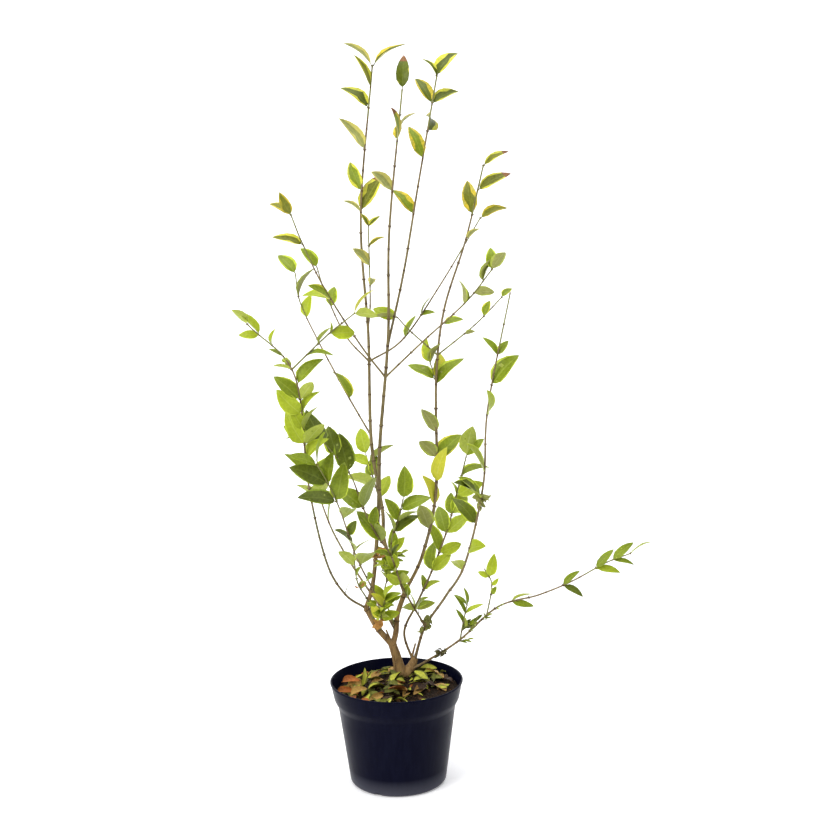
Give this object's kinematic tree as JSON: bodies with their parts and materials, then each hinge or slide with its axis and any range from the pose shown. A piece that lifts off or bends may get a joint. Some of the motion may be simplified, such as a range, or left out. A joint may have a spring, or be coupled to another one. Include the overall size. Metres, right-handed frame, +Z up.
{
  "type": "potted privet shrub",
  "caption": "Young potted privet with gold-edged leaves on tall open shoots, standing in a round black nursery pot filled with compost.",
  "frame": {"origin": "centre of the pot's flat underside, on the ground", "axes": "+Z up; +X to the right and +Y away from the viewer as the plant is seen from its front"},
  "size_m": [0.5585, 0.3348, 1.0495],
  "materials": {
    "pot_plastic": "satin, moulded",
    "compost": "rough, crumbly, with leaf litter",
    "bark": "matt, lightly ribbed bark",
    "leaf": "satin leaf, green with gold edges"
  },
  "bodies": {
    "root": {"pot": "pot_plastic", "compost": "compost", "trunk": "bark", "bough_left_limb": "bark", "bough_centre_limb": "bark", "bough_tall_left": "bark", "bough_tall_centre": "bark", "bough_tall_right": "bark", "bough_right_main": "bark", "bough_right_outer": "bark", "bough_back_right": "bark", "bough_left_outer": "bark", "bough_left_back": "bark", "bough_left_front": "bark", "bough_left_back_high": "bark", "bough_left_high_back": "bark", "bough_left_high_front": "bark", "bough_right_high_back": "bark", "bough_right_high_front": "bark", "bough_low_right": "bark", "bough_inner_front": "bark", "leaves_tall_left": "leaf", "leaves_tall_centre": "leaf", "leaves_tall_right": "leaf", "leaves_tall_twin": "leaf", "leaves_right_main": "leaf", "leaves_right_outer": "leaf", "leaves_back_right": "leaf", "leaves_left_outer": "leaf", "leaves_left_back": "leaf", "leaves_left_front": "leaf", "leaves_left_low": "leaf", "leaves_mid_spray": "leaf", "leaves_left_back_high": "leaf", "leaves_left_high_back": "leaf", "leaves_left_high_front": "leaf", "leaves_right_high_back": "leaf", "leaves_right_high_front": "leaf", "leaves_low_right": "leaf", "leaves_inner_front": "leaf", "leaves_inner_centre": "leaf", "leaves_inner_low": "leaf"}
  },
  "joints": []
}
